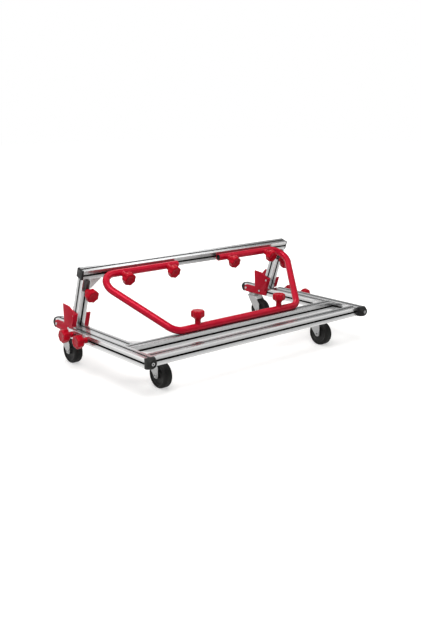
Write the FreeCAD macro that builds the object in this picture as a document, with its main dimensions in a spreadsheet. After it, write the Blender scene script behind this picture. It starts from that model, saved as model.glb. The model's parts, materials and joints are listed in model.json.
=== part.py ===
import FreeCAD, Part
import math
import os
import re

# A glazing trolley: a low wheeled chassis of slotted aluminium profile with a leaning head frame,
# a bent tube that braces the head, and a bumper frame that slides out at the front.
# The frame: X along the cross rails, Y towards the side that panes are loaded from, Z up from the floor.

SIZES = {
    # slotted profile
    "profile": 40.0,
    "edge_round": 1.5,
    "slot_open": 8.2,
    "slot_lip": 5.0,
    "slot_wide": 19.0,
    "slot_floor_wide": 9.0,
    "slot_deep": 12.5,
    "core_bore": 6.8,
    # base and head frame
    "base_width": 1208.0,
    "holder_clear": 7.0,
    "frame_gap": 100.0,
    "inner_rail_length": 520.0,
    "slide_clear": 0.4,
    "foot_setback": 168.0,
    "lean_angle": 18.5,
    "upright_length": 212.0,
    # end caps and buffers
    "cap_thick": 8.0,
    "cap_round": 3.0,
    "buffer_across": 30.0,
    "nose_base_across": 60.0,
    "buffer_length": 21.0,
    "buffer_round": 3.0,
    "buffer_recess": 4.0,
    "buffer_recess_across": 17.0,
    "buffer_head_across": 13.0,
    "buffer_head_thick": 3.5,
    "buffer_shank": 6.0,
    "buffer_socket_across": 7.0,
    # pane holder plates
    "plate_thick": 5.0,
    "flange_wide": 15.0,
    "flange_foot": 1.5,
    "flange_tail": 14.0,
    "prong_height": 79.0,
    "prong_tip_reach": 92.0,
    "prong_crest_reach": 46.0,
    "prong_crest_height": 75.0,
    "prong_dip_reach": 18.0,
    "prong_dip_height": 61.0,
    "short_prong_height": 84.0,
    "short_prong_reach": 61.0,
    "short_prong_corner": 57.0,
    "shoulder_height": 53.0,
    "notch_reach": 88.0,
    "arm_end_inset": 2.0,
    "arm_top_drop": 3.0,
    "arm_bottom_drop": 38.0,
    "plate_toe": 38.0,
    "inner_plate_toe": 13.0,
    "arm_screw_inset": 14.0,
    "body_screw_reach": 56.0,
    "upper_screw_height": 36.0,
    # corner brackets and screws
    "bracket_leg": 45.0,
    "bracket_wide": 34.0,
    "bracket_wall": 5.0,
    "bracket_rib": 4.0,
    "bracket_screw_out": 24.0,
    "screw_shank": 6.0,
    "screw_clear": 0.6,
    "screw_head_across": 11.0,
    "screw_head_thick": 3.6,
    "screw_socket_across": 4.0,
    "screw_socket_deep": 2.2,
    # slot nuts
    "nut_length": 22.0,
    "nut_wide": 17.5,
    "nut_floor_wide": 11.0,
    "nut_thick": 5.0,
    "nut_clear": 0.3,
    "thread_clear": 0.1,
    # star knobs
    "knob_across": 56.0,
    "knob_head": 27.0,
    "knob_cone": 12.0,
    "knob_cone_across": 48.0,
    "knob_neck": 11.0,
    "knob_neck_across": 24.0,
    "flute_across": 40.0,
    "flute_bite": 3.4,
    "knob_crown": 4.0,
    "stud_across": 8.0,
    "seat_clear": 0.3,
    "top_knob_pitch_share": 0.1896,
    "top_knob_left_share": 0.2318,
    "top_knob_right_share": 0.2400,
    "low_knob_share": 0.3758,
    "side_knob_inset": 27.0,
    "side_knob_pitch": 108.0,
    "upright_knob_drop": 47.0,
    # clamp blocks under the upright knobs
    "clamp_wide": 17.0,
    "clamp_thick": 11.0,
    "clamp_drop": 1.0,
    # bow tube
    "tube_across": 30.0,
    "tube_wall": 2.5,
    "tube_clear": 0.3,
    "bend_radius": 62.0,
    "bow_offset": 3.0,
    "bow_low_share": 0.563,
    "bow_high_share": 0.8974,
    "bow_end_left_share": 0.0911,
    "bow_end_right_share": 0.1026,
    "plug_deep": 12.0,
    "plug_inset": 1.0,
    "saddle_rise": 4.0,
    "saddle_sink": 1.0,
    # casters
    "caster_height": 135.0,
    "wheel_across": 106.0,
    "wheel_wide": 38.0,
    "tyre_thick": 11.0,
    "tyre_round": 8.0,
    "hub_across": 26.0,
    "hub_stand": 2.0,
    "web_thick": 18.0,
    "axle_across": 10.0,
    "run_clear": 0.05,
    "axle_head_across": 17.0,
    "axle_head_thick": 5.0,
    "trail": 49.0,
    "leg_thick": 3.0,
    "leg_end_across": 25.0,
    "leg_root_wide": 52.0,
    "leg_root_back": 22.0,
    "leg_front_rise": 34.0,
    "leg_back_rise": 30.0,
    "leg_back_reach": 44.0,
    "crown_across": 58.0,
    "crown_thick": 5.0,
    "crown_gap": 0.5,
    "caster_head_across": 52.0,
    "caster_head_thick": 12.0,
    "kingpin_across": 12.0,
    "kingpin_head_across": 20.0,
    "kingpin_head_thick": 6.0,
    "kingpin_depth": 26.0,
    "front_caster_share": 0.745,
    "rear_caster_inset": 49.0,
    # how far cutting shapes run past what they cut
    "overrun": 2.0,
}
KNOB_LOBES = 7

doc = FreeCAD.newDocument("glazing_trolley")
sheet = doc.addObject("Spreadsheet::Sheet", "Sizes")
for row, (alias, number) in enumerate(SIZES.items(), start=1):
    sheet.set(f"A{row}", alias)
    sheet.set(f"B{row}", str(number))
    sheet.setAlias(f"B{row}", alias)
doc.recompute()


class Values:
    """The sheet's numbers, by alias."""

    def __getattr__(self, alias):
        return float(sheet.get(alias))


v = Values()
nodes = []

LEFT = -1
RIGHT = 1
ALONG_X = FreeCAD.Vector(1, 0, 0)
ALONG_Y = FreeCAD.Vector(0, 1, 0)
ALONG_Z = FreeCAD.Vector(0, 0, 1)
ORIGIN = FreeCAD.Vector(0, 0, 0)
LEVEL = FreeCAD.Placement()

# Places that several pieces share
half_width = v.base_width / 2
inner_face = half_width - v.profile
inner_outside = inner_face - v.slide_clear
inner_middle = inner_outside - v.profile / 2
inner_inside = inner_outside - v.profile
buffer_stack = v.cap_thick + v.buffer_length
depth = buffer_stack + v.frame_gap + 2 * v.profile + v.inner_rail_length + buffer_stack
side_front = buffer_stack - depth / 2
front_back = side_front + v.profile
cross_front = front_back + v.frame_gap
cross_middle = cross_front + v.profile / 2
cross_back = cross_front + v.profile
inner_far = cross_back + v.inner_rail_length
foot_front = inner_far - v.foot_setback
arm_reach = v.foot_setback - v.arm_end_inset
side_rail_length = foot_front - side_front - v.holder_clear
SIDE_RAIL_FORMULA = "(2 * profile + frame_gap + inner_rail_length - foot_setback - holder_clear)"
rail_bottom = v.caster_height
rail_middle = rail_bottom + v.profile / 2
rail_top = rail_bottom + v.profile
lean = math.radians(v.lean_angle)
tube_radius = v.tube_across / 2
front_caster_spread = v.front_caster_share * v.base_width
bow_end_left = v.bow_end_left_share * v.base_width
bow_end_right = v.bow_end_right_share * v.base_width

# The leaning head's own frame: its Z runs up the front faces of the uprights, its Y goes through them
LEANING = FreeCAD.Placement(
    FreeCAD.Vector(0, foot_front, rail_top), FreeCAD.Rotation(ALONG_X, v.lean_angle)
)


def add(kind, name, **formulas):
    """A document object whose sizes are tied to the sheet."""
    obj = doc.addObject(kind, name)
    for size, formula in formulas.items():
        obj.setExpression(size, re.sub(r"[a-z_]+", r"Sizes.\g<0>", formula))
    return obj


def spot(x, y, z, turn=None, frame=LEVEL):
    """A placement at a point of a frame."""
    return frame.multiply(FreeCAD.Placement(FreeCAD.Vector(x, y, z), turn or FreeCAD.Rotation()))


def facing(along, out):
    """A turn that lays X along a slot and points Z out of the face."""
    return FreeCAD.Rotation(along, out.cross(along), out, "ZXY")


def put(obj, placement):
    obj.Placement = placement
    return obj


def fuse(name, members):
    obj = doc.addObject("Part::MultiFuse", name)
    obj.Shapes = members
    return obj


def cut(name, base, tools):
    obj = doc.addObject("Part::Cut", name)
    obj.Base = base
    obj.Tool = tools[0] if len(tools) == 1 else fuse(name + "_tools", tools)
    return obj


def group(name, members):
    obj = doc.addObject("Part::Compound", name)
    obj.Links = members
    return obj


def copies(name, master, places):
    """The same piece at several places, as separate solids."""
    return group(name, [put(group(f"{name}_{i}", [master]), place) for i, place in enumerate(places)])


def node(name, obj):
    """Marks an object as a finished sub-part."""
    obj.Label = name
    nodes.append(obj)
    return obj


def solid(name, shape, placement=LEVEL):
    """A shape worked out here, from the sheet's values."""
    obj = doc.addObject("Part::Feature", name)
    obj.Shape = shape
    obj.Placement = placement
    return obj


def rounded(name, base, radius, chosen):
    """Rounds the edges of a block that the test chooses."""
    doc.recompute()
    obj = doc.addObject("Part::Fillet", name)
    obj.Base = base
    obj.Edges = [(i, radius, radius) for i, edge in enumerate(base.Shape.Edges, start=1) if chosen(edge)]
    return obj


def lies_along(edge, direction):
    if not isinstance(edge.Curve, Part.Line):
        return False
    return abs(edge.Curve.Direction.dot(direction)) > 0.99


def drill(name, across, length, placement):
    """A round cutter along Z of its placement, centred on its length."""
    tool = add("Part::Cylinder", name, Radius=f"({across}) / 2", Height=length)
    doc.recompute()
    middle = FreeCAD.Placement(FreeCAD.Vector(0, 0, -tool.Height.Value / 2), FreeCAD.Rotation())
    return put(tool, placement.multiply(middle))


def wedge(name, length, wide, floor_wide, deep):
    """A prism along X that hangs below the origin and narrows towards its floor."""
    nothing = "0 * overrun"
    obj = add(
        "Part::Wedge", name,
        Xmin=nothing, X2min=nothing, Xmax=length, X2max=length, Ymin=nothing, Ymax=deep,
        Zmin=f"-({wide}) / 2", Zmax=f"({wide}) / 2",
        Z2min=f"-({floor_wide}) / 2", Z2max=f"({floor_wide}) / 2",
    )
    return put(obj, spot(0, 0, 0, FreeCAD.Rotation(ALONG_X, -90)))


def rail(name, length, holes=()):
    """A length of slotted profile along X, from the corner of its section."""
    bar = add("Part::Box", name + "_bar", Length=length, Width="profile", Height="profile")
    bar = rounded(name + "_rounded", bar, v.edge_round, lambda edge: lies_along(edge, ALONG_X))
    tools = []
    for side in range(4):
        turned = spot(0, v.profile / 2, v.profile / 2, FreeCAD.Rotation(ALONG_X, side * 90))
        mouth = add(
            "Part::Box", f"{name}_mouth_{side}",
            Length=f"{length} + 2 * overrun", Width="slot_open", Height="slot_deep + overrun",
        )
        put(mouth, spot(-v.overrun, -v.slot_open / 2, v.profile / 2 - v.slot_deep, frame=turned))
        cave = wedge(
            f"{name}_cave_{side}", f"{length} + 2 * overrun",
            "slot_wide", "slot_floor_wide", "slot_deep - slot_lip")
        put(cave, spot(-v.overrun, 0, v.profile / 2 - v.slot_lip, frame=turned).multiply(cave.Placement))
        tools += [mouth, cave]
    bore = add("Part::Cylinder", name + "_bore", Radius="core_bore / 2", Height=f"{length} + 2 * overrun")
    put(bore, spot(-v.overrun, v.profile / 2, v.profile / 2, FreeCAD.Rotation(ALONG_Y, 90)))
    return cut(name, bar, tools + [bore] + list(holes))


def build_rails():
    across = FreeCAD.Rotation()
    away = FreeCAD.Rotation(ALONG_Z, 90)
    up = FreeCAD.Rotation(ALONG_Y, -90)
    knob_places = [side_rail_length - v.side_knob_inset - i * v.side_knob_pitch for i in range(2)]
    for side, word in ((LEFT, "left"), (RIGHT, "right")):
        sideways = FreeCAD.Rotation(ALONG_X, 90)
        holes = [
            drill(f"side_{word}_hole_{i}", "stud_across + screw_clear", "profile + 2 * overrun",
                  spot(place, v.profile / 2, v.profile / 2, sideways))
            for i, place in enumerate(knob_places)
        ]
        side_rail = rail(f"side_rail_{word}", SIDE_RAIL_FORMULA, holes)
        node(side_rail.Name, put(side_rail, spot(
            inner_face + v.profile if side == RIGHT else -inner_face, side_front, rail_bottom, away)))
        pin_hole = drill(
            f"rear_pin_hole_{word}", "kingpin_across + 2 * run_clear", "2 * kingpin_depth",
            spot(v.inner_rail_length - v.rear_caster_inset, v.profile / 2, 0))
        inner = rail(f"inner_rail_{word}", "inner_rail_length", [pin_hole])
        node(inner.Name, put(inner, spot(
            inner_outside if side == RIGHT else -inner_inside, cross_back, rail_bottom, away)))
        post = rail(f"upright_{word}_long", "upright_length + profile")
        post_side = inner_outside if side == RIGHT else -inner_inside
        put(post, spot(post_side, 0, -v.profile, up, LEANING))
        ground = add(
            "Part::Box", f"foot_cut_{word}", Length="2 * profile", Width="4 * profile", Height="2 * profile")
        put(ground, spot(side * inner_middle - v.profile, foot_front - v.profile, rail_top - 2 * v.profile))
        node(f"upright_{word}", cut(f"upright_{word}", post, [ground]))
    front = rail("front_rail", "(base_width - 2 * profile)")
    node("front_rail", put(front, spot(-inner_face, side_front, rail_bottom, across)))
    pin_holes = [
        drill(f"front_pin_hole_{i}", "kingpin_across + 2 * run_clear", "2 * kingpin_depth",
              spot(inner_outside + side * front_caster_spread / 2, v.profile / 2, 0))
        for i, side in enumerate((LEFT, RIGHT))
    ]
    cross = rail("cross_rail", "(base_width - 2 * profile - 2 * slide_clear)", pin_holes)
    node("cross_rail", put(cross, spot(-inner_outside, cross_front, rail_bottom, across)))
    top = rail("top_bar", "(base_width - 2 * profile - 2 * slide_clear)")
    node("top_bar", put(top, spot(-inner_outside, 0, v.upright_length, across, LEANING)))


def build_end_pieces():
    """Black caps on the open rail ends, and the square-to-round buffers on the ends that meet walls."""
    block = add("Part::Box", "cap_block", Length="profile", Width="profile", Height="cap_thick")
    put(block, spot(-v.profile / 2, -v.profile / 2, 0))
    cap = rounded("cap", block, v.cap_round, lambda edge: edge.CenterOfMass.z > v.cap_round)
    screw_hole = drill("buffer_cap_hole", "buffer_shank", "4 * cap_thick", LEVEL)
    drilled_cap = cut("drilled_cap", block, [screw_hole])
    face = v.cap_thick + v.buffer_length
    square = add("Part::Box", "nose_square", Length="profile", Width="profile", Height="buffer_length")
    put(square, spot(-v.profile / 2, -v.profile / 2, v.cap_thick))
    taper = add("Part::Cone", "nose_taper", Radius1="nose_base_across / 2", Radius2="buffer_across / 2",
                Height="buffer_length")
    put(taper, spot(0, 0, v.cap_thick))
    nose = doc.addObject("Part::MultiCommon", "nose")
    nose.Shapes = [square, taper]
    nose = rounded("nose_rounded", nose, v.buffer_round, lambda edge: edge.CenterOfMass.z > face - v.overrun)
    recess = add("Part::Cylinder", "buffer_recess_cut",
                 Radius="buffer_recess_across / 2", Height="buffer_recess + overrun")
    put(recess, spot(0, 0, face - v.buffer_recess))
    hole = drill("buffer_hole", "buffer_shank", "4 * buffer_length", LEVEL)
    buffer = cut("buffer", nose, [recess, hole])
    head = add(
        "Part::Cylinder", "buffer_screw_head", Radius="buffer_head_across / 2", Height="buffer_head_thick")
    put(head, spot(0, 0, face - v.buffer_recess))
    shank = add("Part::Cylinder", "buffer_screw_shank", Radius="buffer_shank / 2",
                Height="buffer_length - buffer_recess + cap_thick")
    socket = drill("buffer_screw_socket", "buffer_socket_across", "2 * screw_socket_deep",
                   spot(0, 0, face - v.buffer_recess + v.buffer_head_thick))
    buffer_screw = cut("buffer_screw", fuse("buffer_screw_whole", [head, shank]), [socket])

    bar_height = v.upright_length + v.profile / 2
    bar_ends = [
        spot(side * inner_outside, v.profile / 2, bar_height, facing(ALONG_Y, ALONG_X * side), LEANING)
        for side in (LEFT, RIGHT)
    ]
    arm_ends = [
        spot(side * inner_middle, inner_far, rail_middle, facing(ALONG_X, ALONG_Y)) for side in (LEFT, RIGHT)
    ]
    fronts = [
        spot(side * (half_width - v.profile / 2), side_front, rail_middle, facing(ALONG_X, -ALONG_Y))
        for side in (LEFT, RIGHT)
    ]
    bar_caps = copies("bar_caps", cap, bar_ends)
    arm_caps = copies("arm_caps", drilled_cap, arm_ends)
    node("end_caps", group("end_caps", [bar_caps, arm_caps]))
    node("rear_buffers", copies("rear_buffers", buffer, arm_ends))
    node("rear_buffer_screws", copies("rear_buffer_screws", buffer_screw, arm_ends))
    node("bumper_caps", copies("bumper_caps", drilled_cap, fronts))
    node("buffers", copies("buffers", buffer, fronts))
    node("buffer_screws", copies("buffer_screws", buffer_screw, fronts))


def in_plate(reach, height):
    """A point in the plane of a holder plate, from the front foot of the upright."""
    return FreeCAD.Vector(0, reach, height)


def holder_plate_shape(out, prong, flange_foot, toe):
    """A pane holder plate that stands out from its face to one side, with its prong's corners given."""
    arm_middle = (v.arm_top_drop + v.arm_bottom_drop) / 2
    arm_round = (v.arm_bottom_drop - v.arm_top_drop) / 2
    arm_low = in_plate(arm_reach - arm_round, -v.arm_bottom_drop)
    arm_end = in_plate(arm_reach, -arm_middle)
    arm_high = in_plate(arm_reach - arm_round, -v.arm_top_drop)
    shoulder = in_plate(-v.shoulder_height * math.tan(lean), v.shoulder_height)
    upper = [arm_high, in_plate(v.notch_reach, -v.arm_top_drop)] + prong + [shoulder, ORIGIN]
    lower = [ORIGIN, in_plate(toe, -v.arm_bottom_drop), arm_low]
    edges = [Part.makeLine(start, end) for start, end in zip(upper, upper[1:])]
    edges += [Part.makeLine(start, end) for start, end in zip(lower, lower[1:])]
    edges.append(Part.Arc(arm_low, arm_end, arm_high).toShape())
    outline = Part.Wire(Part.__sortEdges__(edges))
    plate = Part.Face(outline).extrude(ALONG_X * (out * v.plate_thick))
    flange_top = v.shoulder_height / math.cos(lean)
    reach = v.plate_thick + v.flange_wide
    flange = Part.makeBox(reach, v.plate_thick, flange_top - flange_foot,
                          FreeCAD.Vector(min(0, out * reach), 0, flange_foot))
    flange.Placement = FreeCAD.Placement(ORIGIN, FreeCAD.Rotation(ALONG_X, v.lean_angle))
    plate = plate.fuse(flange).removeSplitter()
    for place in holder_screw_places():
        hole = Part.makeCylinder(
            (v.screw_shank + v.screw_clear) / 2, 2 * (v.plate_thick + v.overrun),
            place - ALONG_X * (v.plate_thick + v.overrun), ALONG_X)
        plate = plate.cut(hole)
    return plate


def holder_screw_places():
    """Screws in the arm, in the body and in the upright's side slot, from the upright's front foot."""
    upright = FreeCAD.Rotation(ALONG_X, v.lean_angle).multVec(
        FreeCAD.Vector(0, v.profile / 2, v.upper_screw_height))
    return [
        FreeCAD.Vector(0, v.foot_setback - v.arm_screw_inset, -v.profile / 2),
        FreeCAD.Vector(0, v.body_screw_reach, -v.profile / 2),
        upright,
    ]


def slot_nut(name, thread):
    """A nut for the slots with the thread of a screw or of a knob's stud."""
    block = wedge(name + "_block", "nut_length", "nut_wide", "nut_floor_wide", "nut_thick")
    put(block, spot(-v.nut_length / 2, 0, -v.slot_lip - v.nut_clear).multiply(block.Placement))
    hole = drill(name + "_hole", thread + " + thread_clear", "4 * slot_deep", LEVEL)
    return cut(name, block, [hole])


def screw(name, grip):
    """A round-headed screw that holds a wall of one thickness to a slot, with Z out of the face."""
    head = add("Part::Cylinder", name + "_head", Radius="screw_head_across / 2", Height="screw_head_thick")
    doc.recompute()
    wall = getattr(v, grip)
    put(head, spot(0, 0, wall))
    head = rounded(name + "_dome", head, v.screw_head_thick / 2,
                   lambda edge: edge.CenterOfMass.z > wall + v.screw_head_thick / 2)
    shank = add("Part::Cylinder", name + "_shank", Radius="screw_shank / 2",
                Height=f"{grip} + slot_lip + nut_clear + nut_thick")
    put(shank, spot(0, 0, -v.slot_lip - v.nut_clear - v.nut_thick))
    socket = drill(name + "_socket", "screw_socket_across", "2 * screw_socket_deep",
                   spot(0, 0, wall + v.screw_head_thick))
    return cut(name, fuse(name + "_whole", [head, shank]), [socket])


def corner_bracket():
    """An angle bracket with two ribs, its corner at the origin, its legs along X and Z, its width along Y."""
    base = add("Part::Box", "bracket_base", Length="bracket_leg", Width="bracket_wide", Height="bracket_wall")
    back = add("Part::Box", "bracket_back", Length="bracket_wall", Width="bracket_wide", Height="bracket_leg")
    ribs = []
    for i, y in enumerate((0, v.bracket_wide - v.bracket_rib)):
        rib = add(
            "Part::Box", f"bracket_rib_{i}", Length="bracket_leg", Width="bracket_rib", Height="bracket_leg")
        put(rib, spot(0, y, 0))
        ribs.append(rib)
    slant = solid("bracket_slant", bracket_slant())
    holes = [
        drill("bracket_hole_base", "screw_shank + screw_clear", "4 * bracket_wall",
              spot(v.bracket_screw_out, v.bracket_wide / 2, 0)),
        drill("bracket_hole_back", "screw_shank + screw_clear", "4 * bracket_wall",
              spot(0, v.bracket_wide / 2, v.bracket_screw_out, facing(ALONG_Y, ALONG_X))),
    ]
    whole = fuse("bracket_whole", [base, back] + ribs)
    return cut("bracket", whole, [slant] + holes)


def bracket_slant():
    """What is cut off a bracket in front of the line between the ends of its legs."""
    low = FreeCAD.Vector(v.bracket_leg, -v.overrun, v.bracket_wall)
    high = FreeCAD.Vector(v.bracket_wall, -v.overrun, v.bracket_leg)
    far = FreeCAD.Vector(v.bracket_leg + v.overrun, -v.overrun, v.bracket_leg + v.overrun)
    low_far = FreeCAD.Vector(v.bracket_leg + v.overrun, -v.overrun, v.bracket_wall)
    high_far = FreeCAD.Vector(v.bracket_wall, -v.overrun, v.bracket_leg + v.overrun)
    outline = Part.makePolygon([low, low_far, far, high_far, high, low])
    return Part.Face(outline).extrude(ALONG_Y * (v.bracket_wide + 2 * v.overrun))


def bracket_screw_places(corner):
    """The two screw seats of a bracket that stands at a corner."""
    middle = v.bracket_wide / 2
    return [
        corner.multiply(spot(v.bracket_screw_out, middle, 0, facing(ALONG_X, ALONG_Z))),
        corner.multiply(spot(0, middle, v.bracket_screw_out, facing(ALONG_Z, ALONG_X))),
    ]


def build_fixings():
    """Holder plates, corner brackets, and the screws and slot nuts that hold them."""
    long_prong = [
        in_plate(v.prong_tip_reach, v.prong_height),
        in_plate(v.prong_crest_reach, v.prong_crest_height),
        in_plate(v.prong_dip_reach, v.prong_dip_height),
    ]
    short_prong = [
        in_plate(v.notch_reach, v.short_prong_corner),
        in_plate(v.short_prong_reach, v.short_prong_height),
    ]
    seats = []
    for side, word in ((LEFT, "left"), (RIGHT, "right")):
        for out, end in ((side, "outer"), (-side, "inner")):
            prong = short_prong if out == RIGHT else long_prong
            foot, toe = (v.flange_foot, v.plate_toe)
            if end == "inner":
                foot, toe = (-v.flange_tail, v.inner_plate_toe)
            face = side * inner_middle + out * v.profile / 2
            name = f"holder_plate_{word}_{end}"
            plate = solid(name, holder_plate_shape(out, prong, foot, toe), spot(face, foot_front, rail_top))
            node(name, plate)
            arm, body, upper = holder_screw_places()
            level = facing(ALONG_Y, ALONG_X * out)
            steep = FreeCAD.Rotation(ALONG_X, v.lean_angle).multiply(facing(ALONG_Z, ALONG_X * out))
            for place, turn in ((arm, level), (body, level), (upper, steep)):
                seats.append(spot(face, foot_front + place.y, rail_top + place.z, turn))
    node("holder_screws", copies("holder_screws", screw("holder_screw", "plate_thick"), seats))

    bracket = corner_bracket()
    half_bracket = v.bracket_wide / 2
    chassis_corners = []
    bumper_corners = []
    for side in (LEFT, RIGHT):
        inward = -side
        flat = FreeCAD.Rotation(ALONG_X * inward, ALONG_Z * -inward, ALONG_Y, "XZY")
        width_start = rail_middle + inward * half_bracket
        chassis_corners.append(spot(side * inner_inside, cross_back, width_start, flat))
        bumper_corners.append(spot(side * inner_face, front_back, width_start, flat))
        hung = FreeCAD.Rotation(ALONG_X * inward, ALONG_Y * -inward, -ALONG_Z, "XZY")
        head_start = v.profile / 2 + inward * half_bracket
        chassis_corners.append(spot(side * inner_inside, head_start, v.upright_length, hung, LEANING))
    node("corner_brackets", copies("corner_brackets", bracket, chassis_corners))
    node("front_brackets", copies("front_brackets", bracket, bumper_corners))
    bracket_screw = screw("bracket_screw", "bracket_wall")
    chassis_seats = [seat for corner in chassis_corners for seat in bracket_screw_places(corner)]
    bumper_seats = [seat for corner in bumper_corners for seat in bracket_screw_places(corner)]
    node("bracket_screws", copies("bracket_screws", bracket_screw, chassis_seats))
    node("front_bracket_screws", copies("front_bracket_screws", bracket_screw, bumper_seats))
    return seats + chassis_seats, bumper_seats


def bow_frame():
    """The two lines that the bow's straight runs follow: its low one and the way up to its high one."""
    low = FreeCAD.Vector(0, cross_middle, rail_top + tube_radius + v.tube_clear)
    high = LEANING.multVec(FreeCAD.Vector(0, -tube_radius - v.tube_clear, v.upright_length + v.profile / 2))
    return low, high - low


def bow_path():
    """The tube's middle line: straight runs joined by arcs that touch them."""
    low, rise = bow_frame()
    low_half = v.bow_low_share * v.base_width / 2
    high_half = v.bow_high_share * v.base_width / 2
    corners = [
        low + rise + ALONG_X * -bow_end_left,
        low + rise + ALONG_X * (v.bow_offset - high_half),
        low + ALONG_X * (v.bow_offset - low_half),
        low + ALONG_X * (v.bow_offset + low_half),
        low + rise + ALONG_X * (v.bow_offset + high_half),
        low + rise + ALONG_X * bow_end_right,
    ]
    edges = []
    start = corners[0]
    for before, corner, after in zip(corners, corners[1:], corners[2:]):
        back = (before - corner).normalize()
        ahead = (after - corner).normalize()
        half_angle = back.getAngle(ahead) / 2
        reach = v.bend_radius / math.tan(half_angle)
        inward = (back + ahead).normalize()
        nearest = corner + inward * (v.bend_radius / math.sin(half_angle) - v.bend_radius)
        edges.append(Part.makeLine(start, corner + back * reach))
        edges.append(Part.Arc(corner + back * reach, nearest, corner + ahead * reach).toShape())
        start = corner + ahead * reach
    edges.append(Part.makeLine(start, corners[-1]))
    return Part.Wire(edges)


def pipe(path, radius):
    start = path.Edges[0]
    first = start.FirstParameter
    circle = Part.Wire(Part.makeCircle(radius, start.valueAt(first), start.tangentAt(first)))
    return path.makePipeShell([circle], True, False)


def bow_seats():
    """Where the bow's knobs stand on the profile faces below the tube, Z out of each face."""
    low, rise = bow_frame()
    half_pitch = v.top_knob_pitch_share * v.base_width / 2
    left = -v.top_knob_left_share * v.base_width
    right = v.top_knob_right_share * v.base_width
    top_x = [left - half_pitch, left + half_pitch, right - half_pitch, right + half_pitch]
    bar_height = v.upright_length + v.profile / 2
    seats = [spot(x, 0, bar_height, facing(ALONG_X, -ALONG_Y), LEANING) for x in top_x]
    seats += [
        spot(side * v.low_knob_share * v.base_width / 2, cross_middle, rail_top, facing(ALONG_X, ALONG_Z))
        for side in (LEFT, RIGHT)
    ]
    return seats


def build_bow():
    path = bow_path()
    inside = pipe(path, tube_radius - v.tube_wall)
    tube = pipe(path, tube_radius)
    through = 2 * (v.tube_across + v.overrun)
    saddle_foot = tube_radius + v.tube_clear
    saddle_top = v.tube_across + v.tube_clear + v.saddle_rise
    boss = Part.makeCylinder(v.knob_neck_across / 2, saddle_top - saddle_foot, ALONG_Z * saddle_foot)
    boss_cut = Part.makeCylinder(
        tube_radius - v.saddle_sink, through, ALONG_Z * saddle_foot - ALONG_X * through / 2, ALONG_X)
    boss = boss.cut(boss_cut)
    hole = Part.makeCylinder((v.stud_across + v.screw_clear) / 2, through, ALONG_Z * -v.overrun, ALONG_Z)
    seats = bow_seats()
    for seat in seats:
        for shape in (boss, hole):
            shape.Placement = seat
        tube = tube.fuse(boss).cut(hole)
    tube = tube.cut(inside)
    node("bow_tube", solid("bow_tube", tube))

    low, rise = bow_frame()
    plug = add("Part::Cylinder", "plug", Radius="tube_across / 2 - tube_wall", Height="plug_deep")
    ends = [
        spot(-bow_end_left - v.plug_inset, *(low + rise)[1:], facing(ALONG_Y, -ALONG_X)),
        spot(bow_end_right + v.plug_inset, *(low + rise)[1:], facing(ALONG_Y, ALONG_X)),
    ]
    node("bow_plugs", copies("bow_plugs", plug, ends))
    return seats


def star_knob():
    """A fluted head on a cone and a neck, standing on the origin."""
    neck = add("Part::Cylinder", "knob_neck_part", Radius="knob_neck_across / 2", Height="knob_neck")
    cone = add(
        "Part::Cone", "knob_cone_part",
        Radius1="knob_neck_across / 2", Radius2="knob_cone_across / 2", Height="knob_cone")
    put(cone, spot(0, 0, v.knob_neck))
    head = add("Part::Cylinder", "knob_head_part", Radius="knob_across / 2", Height="knob_head")
    head_foot = v.knob_neck + v.knob_cone
    put(head, spot(0, 0, head_foot))
    head = rounded("knob_head_rounded", head, v.knob_crown, lambda edge: isinstance(edge.Curve, Part.Circle))
    flutes = []
    for i in range(KNOB_LOBES):
        turned = spot(0, 0, 0, FreeCAD.Rotation(ALONG_Z, 360 * i / KNOB_LOBES))
        out = v.knob_across / 2 + v.flute_across / 2 - v.flute_bite
        place = spot(out, 0, head_foot, frame=turned)
        flutes.append(drill(f"knob_flute_{i}", "flute_across", "4 * knob_head", place))
    return fuse("knob_body", [neck, cone, cut("knob_fluted", head, flutes)])


def stud(name, grip):
    """The steel stud below a knob, through what it clamps and its slot nut."""
    length = f"{grip} + slot_lip + nut_clear + nut_thick"
    return add("Part::Cylinder", name, Radius="stud_across / 2", Height=length)


def build_knobs():
    """All star knobs, each with its stud; returns where their slot nuts go, by body."""
    body = star_knob()
    doc.recompute()

    def knob(name, bolt, face, stack):
        doc.recompute()
        whole = group(name, [body, put(group(name + "_stud", [bolt]), spot(0, 0, -bolt.Height.Value))])
        node(name, put(whole, face.multiply(spot(0, 0, stack))))

    bow_bolt = stud("bow_stud", "tube_across + tube_clear + saddle_rise + seat_clear")
    bow_stack = v.tube_across + v.tube_clear + v.saddle_rise + v.seat_clear
    seats = bow_seats()
    words = (
        "bow_knob_1", "bow_knob_2", "bow_knob_3", "bow_knob_4",
        "bow_knob_low_left", "bow_knob_low_right",
    )
    for name, seat in zip(words, seats):
        knob(name, bow_bolt, seat, bow_stack)

    side_bolt = stud("side_stud", "profile + slide_clear + seat_clear")
    side_stack = v.profile + v.slide_clear + v.seat_clear
    side_nuts = []
    for side, word in ((LEFT, "left"), (RIGHT, "right")):
        for i, end in enumerate(("far", "near")):
            y = side_front + side_rail_length - v.side_knob_inset - i * v.side_knob_pitch
            face = spot(side * inner_outside, y, rail_middle, facing(ALONG_Y, ALONG_X * side))
            knob(f"side_knob_{word}_{end}", side_bolt, face, side_stack)
            side_nuts.append(face)

    clamp_bolt = stud("clamp_stud", "clamp_thick + seat_clear")
    clamp_places = []
    for side, word in ((LEFT, "left"), (RIGHT, "right")):
        height = v.upright_length - v.upright_knob_drop
        face = spot(side * inner_middle, 0, height, facing(ALONG_Z, -ALONG_Y), LEANING)
        knob(f"upright_knob_{word}", clamp_bolt, face, v.clamp_thick + v.seat_clear)
        clamp_places.append(face)
    node("clamp_plates", copies("clamp_plates", solid("clamp_plate", clamp_plate_shape()), clamp_places))
    return clamp_places, side_nuts


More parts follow.
